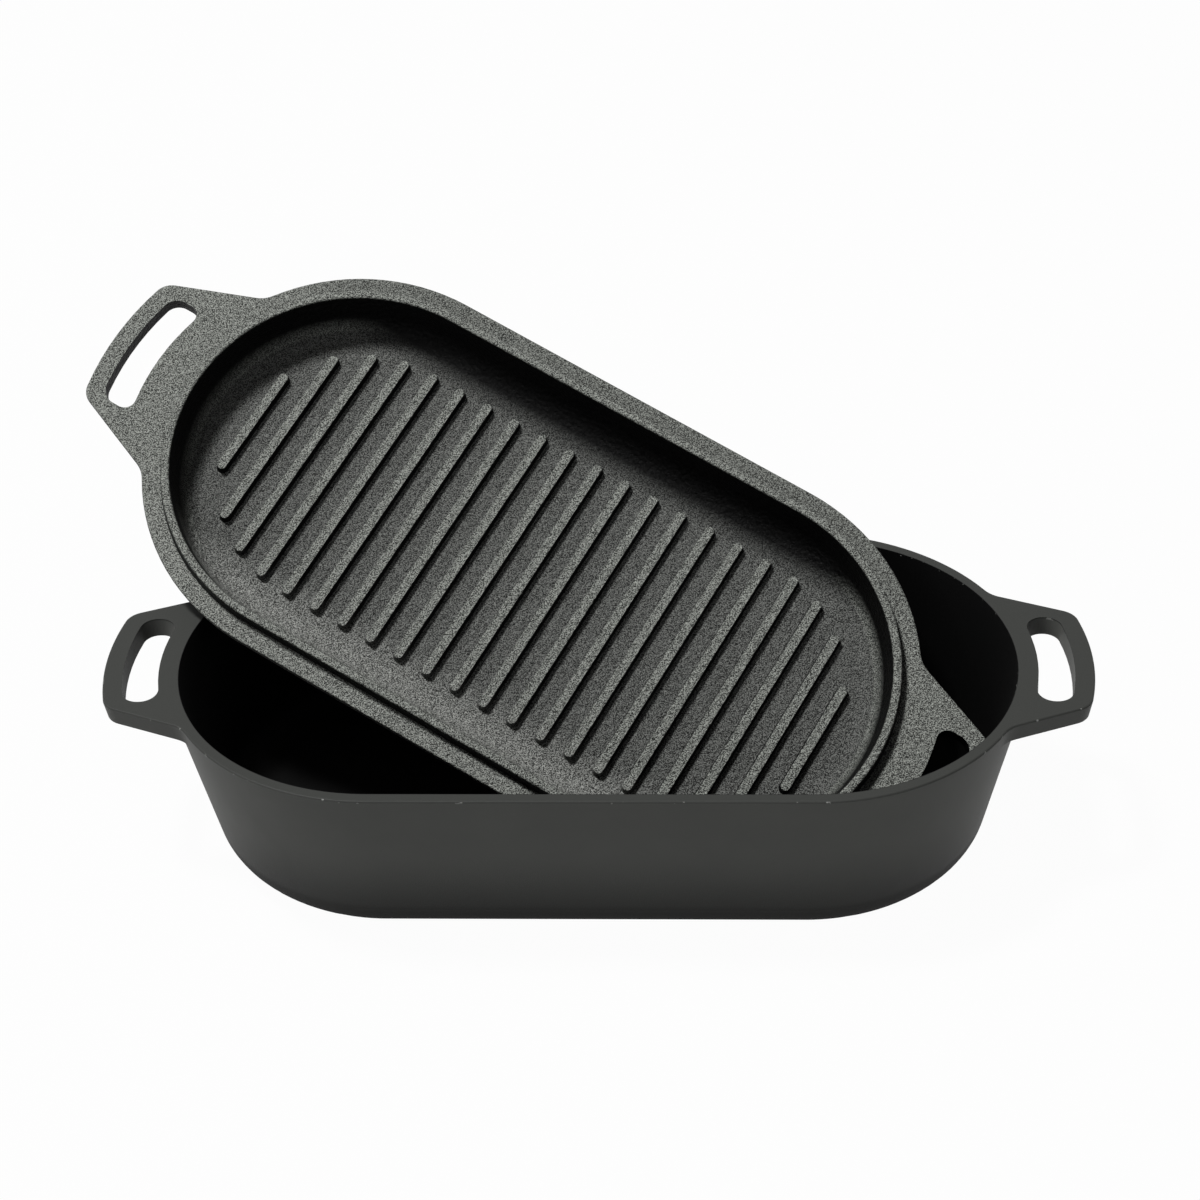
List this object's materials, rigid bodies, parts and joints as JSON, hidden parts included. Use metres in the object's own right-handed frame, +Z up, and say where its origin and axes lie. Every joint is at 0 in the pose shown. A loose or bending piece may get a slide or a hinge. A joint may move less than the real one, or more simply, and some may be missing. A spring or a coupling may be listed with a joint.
{
  "type": "oval dutch oven",
  "caption": "Stadium-shaped cast-iron roasting pot with flat slotted handles, and its ribbed griddle lid leaning in it.",
  "frame": {"origin": "centre of the pot's flat underside, on the surface it stands on", "axes": "+X along the pot's long axis, towards the handle over which the lid's low end lies; +Y away from the open side; +Z up"},
  "size_m": [0.4817, 0.2841, 0.194],
  "materials": {
    "cast_iron": "seasoned, satin, fine cast grain",
    "cast_iron_lid": "seasoned, satin, fine cast grain"
  },
  "bodies": {
    "pot": {"pot": "cast_iron"},
    "lid": {"griddle_lid": "cast_iron_lid"}
  },
  "joints": [
    {"name": "lid_lift", "type": "slide", "parent": "pot", "child": "lid", "axis": [0, 0, 1], "range_m": [0, 0.2]}
  ]
}
